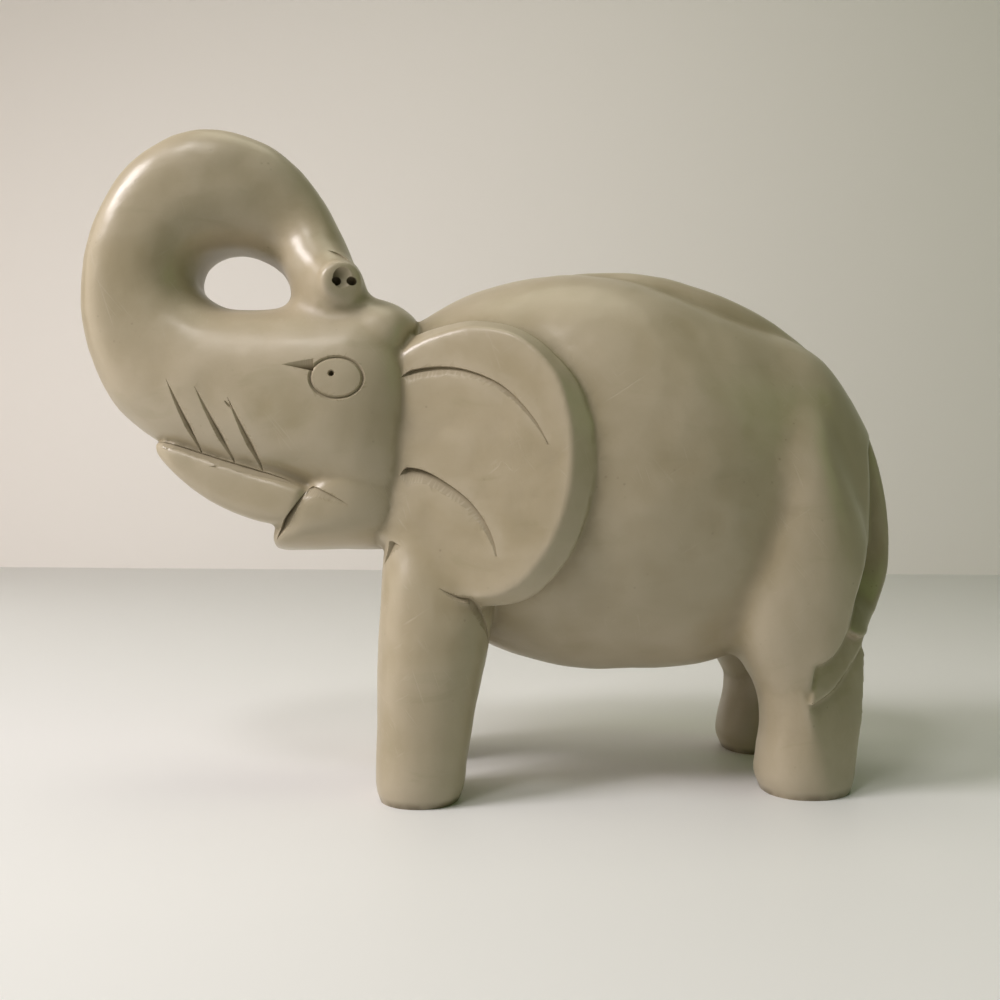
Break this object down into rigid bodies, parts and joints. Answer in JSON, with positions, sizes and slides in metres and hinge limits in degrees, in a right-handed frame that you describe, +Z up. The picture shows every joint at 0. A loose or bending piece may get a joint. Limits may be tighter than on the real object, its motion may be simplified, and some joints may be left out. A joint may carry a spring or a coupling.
{
  "type": "stone elephant figurine",
  "caption": "Carved stone elephant standing on its legs, trunk curled up and back into a closed loop on its forehead, with flat ears, low tusks and cut eyes.",
  "frame": {"origin": "on the standing surface, under the middle of the bounding box", "axes": "+X from the head towards the tail, +Y towards the elephant's right side, +Z up; the trunk's snout turns towards -Y"},
  "size_m": [0.2056, 0.0776, 0.1616],
  "materials": {
    "stone": "satin"
  },
  "bodies": {
    "root": {"elephant": "stone"}
  },
  "joints": []
}
